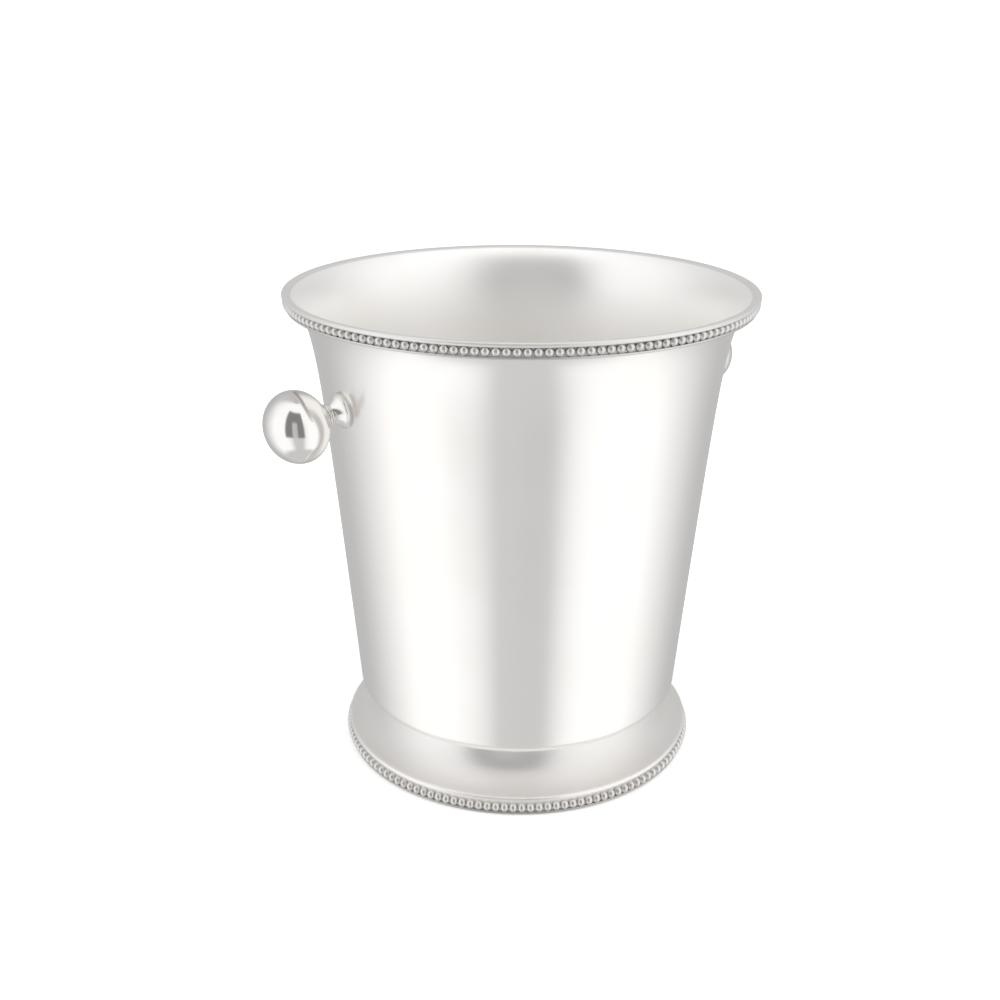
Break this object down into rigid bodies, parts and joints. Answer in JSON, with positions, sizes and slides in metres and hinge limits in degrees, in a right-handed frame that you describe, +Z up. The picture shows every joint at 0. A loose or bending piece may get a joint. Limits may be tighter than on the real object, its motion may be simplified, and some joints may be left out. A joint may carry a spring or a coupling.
{
  "type": "champagne bucket",
  "caption": "Footed silver champagne bucket: tapered body with a flared mouth, beaded borders at rim and foot, and a ball knob on each side for lifting.",
  "frame": {"origin": "centre of the foot's underside, on the surface that the bucket stands on", "axes": "+Z up along the bucket's axis; +X towards the right knob, -X towards the left knob; +Y away from the viewer"},
  "size_m": [0.2432, 0.205, 0.2144],
  "materials": {
    "body_silver": "gloss",
    "foot_silver": "gloss",
    "border_silver": "gloss",
    "knob_silver": "polished",
    "fastener_steel": "satin"
  },
  "bodies": {
    "root": {"bucket_shell": "body_silver", "rim_lip": "border_silver", "rim_bead_border": "border_silver", "foot_trumpet": "foot_silver", "foot_bead_border": "border_silver", "foot_base_band": "border_silver", "knob_left_ball": "knob_silver", "knob_left_neck_reel": "knob_silver", "knob_left_collar": "knob_silver", "knob_left_stud": "fastener_steel", "knob_left_washer": "fastener_steel", "knob_left_cap_nut": "fastener_steel", "knob_right_ball": "knob_silver", "knob_right_neck_reel": "knob_silver", "knob_right_collar": "knob_silver", "knob_right_stud": "fastener_steel", "knob_right_washer": "fastener_steel", "knob_right_cap_nut": "fastener_steel"}
  },
  "joints": []
}
